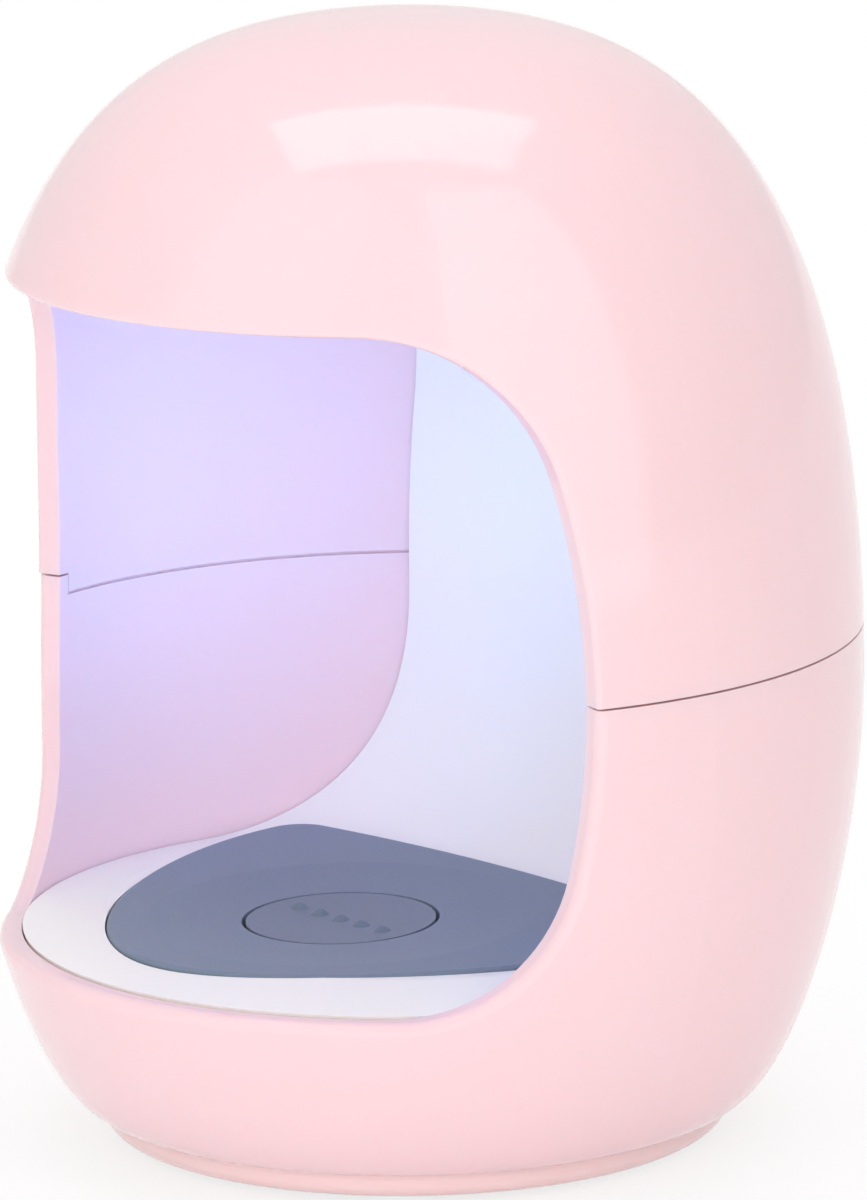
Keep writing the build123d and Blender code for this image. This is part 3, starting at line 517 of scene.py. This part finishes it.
tongue = np.array([v.co for v in nodes["usb_tongue"].data.vertices])
tip = tongue[:, 1].max()
plate = tongue[tongue[:, 1] > tip - PLATE_REACH]
plate_middle = (plate.min(axis=0) + plate.max(axis=0)) / 2
half = CONTACT_LENGTH / 2
rod = [(width, half - inset) for width, inset in CONTACT_NOSE]
rod += [(width, inset - half) for width, inset in reversed(CONTACT_NOSE)]
middle_y = tip - CONTACT_FROM_TIP - half
contact_places = [(plate_middle[0] + x, middle_y, z)
                  for z in (plate[:, 2].min(), plate[:, 2].max())
                  for x in spread(CONTACTS_IN_ROW, CONTACT_PITCH)]
inlet_contacts = turned("inlet_contacts", rod, contact_places, steps=12,
                        across=((0, 0, CONTACT_RISE), (CONTACT_WIDTH / 2, 0, 0)),
                        along=(0, 1, 0))
inlet_contacts.data.materials.append(finishes["contact_gold"])
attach(inlet_contacts, "housing")
print(len(contact_places), "contacts, tip of the plate at", round(1000 * tip, 2), "mm")

# %% [markdown]
# ## The studio
# The floor is plain and pale, and a white world surrounds the lamp. Both look white to the
# camera, to reflections and through glass, while the light that they give is held lower, so
# that the softboxes shape the egg. A real studio is dark behind the camera and bright behind
# the product, so the gloss mirrors less white on the camera's side. The contact shadow stays
# on the floor, and fades away from the foot.

# %% World
WORLD_LIGHT = 0.50
MIRRORED_AHEAD = 0.40  # share of the world's white that the gloss shows on the camera's side
MIRRORED_BEHIND = 0.80  # and on the far side
MIRROR_TURN = 1 / 3  # cosine to the camera's bearing within which one passes into the other
CAMERA_BEARING = math.atan2(CAMERA_PLACE.y, CAMERA_PLACE.x)
TOWARDS_CAMERA = (math.cos(CAMERA_BEARING), math.sin(CAMERA_BEARING), 0)


def ray(maker, kind):
    """1 for rays of that kind, 0 for all others"""
    return maker.node("ShaderNodeLightPath", output=f"Is {kind} Ray")


def seen_directly(maker):
    """1 for rays from the camera, in a reflection or through glass, 0 for light on a surface"""
    hidden = (1 - ray(maker, "Camera")) * (1 - ray(maker, "Glossy"))
    return 1 - hidden * (1 - ray(maker, "Transmission"))


world = bpy.data.worlds.new("studio_world")
bpy.context.scene.world = world
world.use_nodes = True
sky = Nodes(world.node_tree)
background = sky.tree.nodes["Background"]
sky.feed(background.inputs["Color"], (1, 1, 1, 1))
direction = sky.node("ShaderNodeTexCoord", output="Generated")
ahead = sky.node("ShaderNodeVectorMath", {"operation": "DOT_PRODUCT"},
                 {0: direction, 1: TOWARDS_CAMERA}, output="Value")
front = ahead.ramp(-MIRROR_TURN, MIRROR_TURN)
mirrored = MIRRORED_BEHIND + front * (MIRRORED_AHEAD - MIRRORED_BEHIND)
shown = WORLD_LIGHT + seen_directly(sky) * (1 - WORLD_LIGHT)
sky.feed(background.inputs["Strength"], shown * (1 - ray(sky, "Glossy") * (1 - mirrored)))
print("world gives", WORLD_LIGHT, "of the white that it shows")

# %% Floor
FLOOR_RADIUS = 3.0
FLOOR_SIDES = 64
FLOOR_DROP = 0.00005  # below the rubber sole, so that the two faces don't share one plane
PAPER_CLOUD_LENGTH = 0.05
SHADOW_SHOWS = 0.24  # share of the paper's own shading that shows near the foot
SHADOW_NEAR = 0.035  # from the axis, where the shadow starts to fade
SHADOW_FAR = 0.13

floor_mesh = bpy.data.meshes.new("studio_floor")
edge = np.linspace(0, 2 * np.pi, FLOOR_SIDES, endpoint=False)
rim = np.stack([FLOOR_RADIUS * np.cos(edge), FLOOR_RADIUS * np.sin(edge),
                0 * edge - FLOOR_DROP], axis=-1)
floor_mesh.from_pydata(rim, [], [range(FLOOR_SIDES)])
floor = bpy.data.objects.new("studio_floor", floor_mesh)
bpy.context.scene.collection.objects.link(floor)

paper = Finish("studio_paper", Roughness=0.9)
paper.give(Base_Color=paper.blend(paper.noise(PAPER_CLOUD_LENGTH), colour(250, 250, 250),
                                  colour(248, 248, 248)))
distance = paper.node("ShaderNodeVectorMath", {"operation": "LENGTH"}, {0: paper.place},
                      output="Value")
near = 1 - distance.ramp(SHADOW_NEAR, SHADOW_FAR)
white = paper.node("ShaderNodeEmission", inputs={"Color": (1, 1, 1, 1)})
lit = Socket(paper, paper.shader.outputs[0])
whitened = seen_directly(paper) * (1 - near * SHADOW_SHOWS)
mixed = paper.node("ShaderNodeMixShader", inputs={0: whitened, 1: lit, 2: white})
paper.feed(paper.tree.nodes["Material Output"].inputs["Surface"], mixed)
floor.data.materials.append(paper.material)
print("floor", 2 * FLOOR_RADIUS, "m across")

# %% [markdown]
# ## The softboxes
# Two upright softboxes stand left and right of the camera, with a gap between them that shows
# as the darker band down the dome's front, and a third hangs over the lamp. Two gleams are only
# mirrored: one makes the left softbox's face stand out, and one carries the right softbox's
# down the shell. A low fill and one behind the lamp do the reverse, and open the shadows
# without showing in the gloss. Each lamp is given the brightness of its face, and its power
# follows from its area.

# %% Softboxes
STAND_OFF = 0.5  # from the egg's axis to the upright softboxes
AIM = UP * 0.07  # near the top of the dome
LEFT_BRIGHTNESS = 0.52
RIGHT_BRIGHTNESS = 1.18
TOP_BRIGHTNESS = 1.95
FILL_BRIGHTNESS = 1.70
BACK_BRIGHTNESS = 1.0
LEFT_GLEAM = 0.90
RIGHT_GLEAM = 1.05
LEFT_FACE = (-30, (-1.0, 0.12), (0.5, 2.47))  # bearing in degrees, sides and heights
RIGHT_BEARING = 18  # degrees
RIGHT_SIDES = (-0.1, 1.0)


def softbox(name, place, target, size, brightness, lights="all"):
    """
    A rectangular lamp facing target; its power is brightness times pi times its area.
    It lights "all", or only what is "matt", or only the mirror of the "gloss".
    """
    lamp = bpy.data.lights.new(name, "AREA")
    lamp.shape = "RECTANGLE"
    lamp.size, lamp.size_y = size
    lamp.energy = brightness * math.pi * size[0] * size[1]
    holder = bpy.data.objects.new(name, lamp)
    holder.rotation_mode = "QUATERNION"
    holder.location = place
    holder.rotation_quaternion = (target - place).to_track_quat("-Z", "Y")
    bpy.context.scene.collection.objects.link(holder)
    holder.visible_camera = False
    holder.visible_glossy = lights != "matt"
    holder.visible_diffuse = lights != "gloss"
    return holder


def upright_box(name, bearing, sides, heights, brightness, lights="all"):
    """A softbox on a stand, facing the egg squarely; its edges are in shares of STAND_OFF"""
    angle = CAMERA_BEARING + math.radians(bearing)
    out = Vector((math.cos(angle), math.sin(angle), 0))
    along = Vector((-math.sin(angle), math.cos(angle), 0))
    middle = out + along * sum(sides) / 2 + UP * sum(heights) / 2
    size = [STAND_OFF * (high - low) for low, high in (sides, heights)]
    place = AIM + middle * STAND_OFF
    return softbox(name, place, place - out, size, brightness, lights)


boxes = [
    upright_box("softbox_left", *LEFT_FACE, LEFT_BRIGHTNESS),
    upright_box("gleam_left", *LEFT_FACE, LEFT_GLEAM, "gloss"),
    upright_box("softbox_right", RIGHT_BEARING, RIGHT_SIDES, (0.6, 2.45), RIGHT_BRIGHTNESS),
    upright_box("gleam_right", RIGHT_BEARING, RIGHT_SIDES, (-0.4, 0.6), RIGHT_GLEAM, "gloss"),
    upright_box("fill_front", -10, (-0.9, 0.8), (-0.1, 0.5), FILL_BRIGHTNESS, "matt"),
    upright_box("fill_back", 180, (-1.0, 1.0), (0.0, 1.4), BACK_BRIGHTNESS, "matt"),
]
print("upright softboxes", [round(box.data.energy, 3) for box in boxes], "W")

# %% Softbox overhead
TOP_PLACE = Vector((-0.036, 0, 0.6))  # from AIM: towards the camera, aside, and up
TOP_SIZE = (0.54, 0.29)
towards_camera = Matrix.Rotation(CAMERA_BEARING, 3, "Z")
top_place = AIM + towards_camera @ TOP_PLACE
overhead = softbox("softbox_top", top_place, top_place - UP, TOP_SIZE, TOP_BRIGHTNESS)
overhead.rotation_quaternion.rotate(Matrix.Rotation(CAMERA_BEARING + math.pi / 2, 3, "Z"))
print("overhead softbox", round(overhead.data.energy, 3), "W")

# %% [markdown]
# ## The lamp's own light
# The lit lamp fills the chamber: the pink walls turn lavender near the ceiling and stay pinker
# lower down, and the white liner goes pale blue. The real light leaves the window in a wide
# cone. Upright lamps on the chamber's axis that face the walls stand for it, because they wash
# the whole height of a wall evenly and leave the pad in its own colour.

# %% Light in the chamber
CURING_LIGHT = (0.10, 0.41, 1.0)
CURING_BRIGHTNESS = 3.35
CURING_SPREAD = 120.0  # degrees, so that it washes the walls and not the floor
CURING_SIZE = (0.010, 0.033)
CURING_FROM_AXIS = 0.004
CURING_SETBACK = 0.003  # behind the middle of the window
CURING_TOP = 0.003  # below the window
WALL_SHARES = {0: 0.85, 50: 0.43, 130: 0.43, 180: 0.85}  # at degrees round from +X

window_low, window_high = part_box("lamp_window")
window_middle = (window_low + window_high) / 2
height = window_low.z - CURING_TOP - CURING_SIZE[1] / 2
axis = Vector((window_middle.x, window_middle.y + CURING_SETBACK, height))
curing_power = 0
for bearing, wall_share in WALL_SHARES.items():
    facing = Vector((math.cos(math.radians(bearing)), math.sin(math.radians(bearing)), 0))
    place = axis + facing * CURING_FROM_AXIS
    curing = softbox(f"curing_light_{bearing}", place, place + facing, CURING_SIZE,
                     CURING_BRIGHTNESS * wall_share, lights="matt")
    curing.data.color = CURING_LIGHT
    curing.data.spread = math.radians(CURING_SPREAD)
    curing_power += curing.data.energy
print("curing lights", round(curing_power, 4), "W")

# %% [markdown]
# ## Finish
# The Standard view keeps a colour as it is written.

# %% Finish
bpy.context.scene.view_settings.view_transform = "Standard"
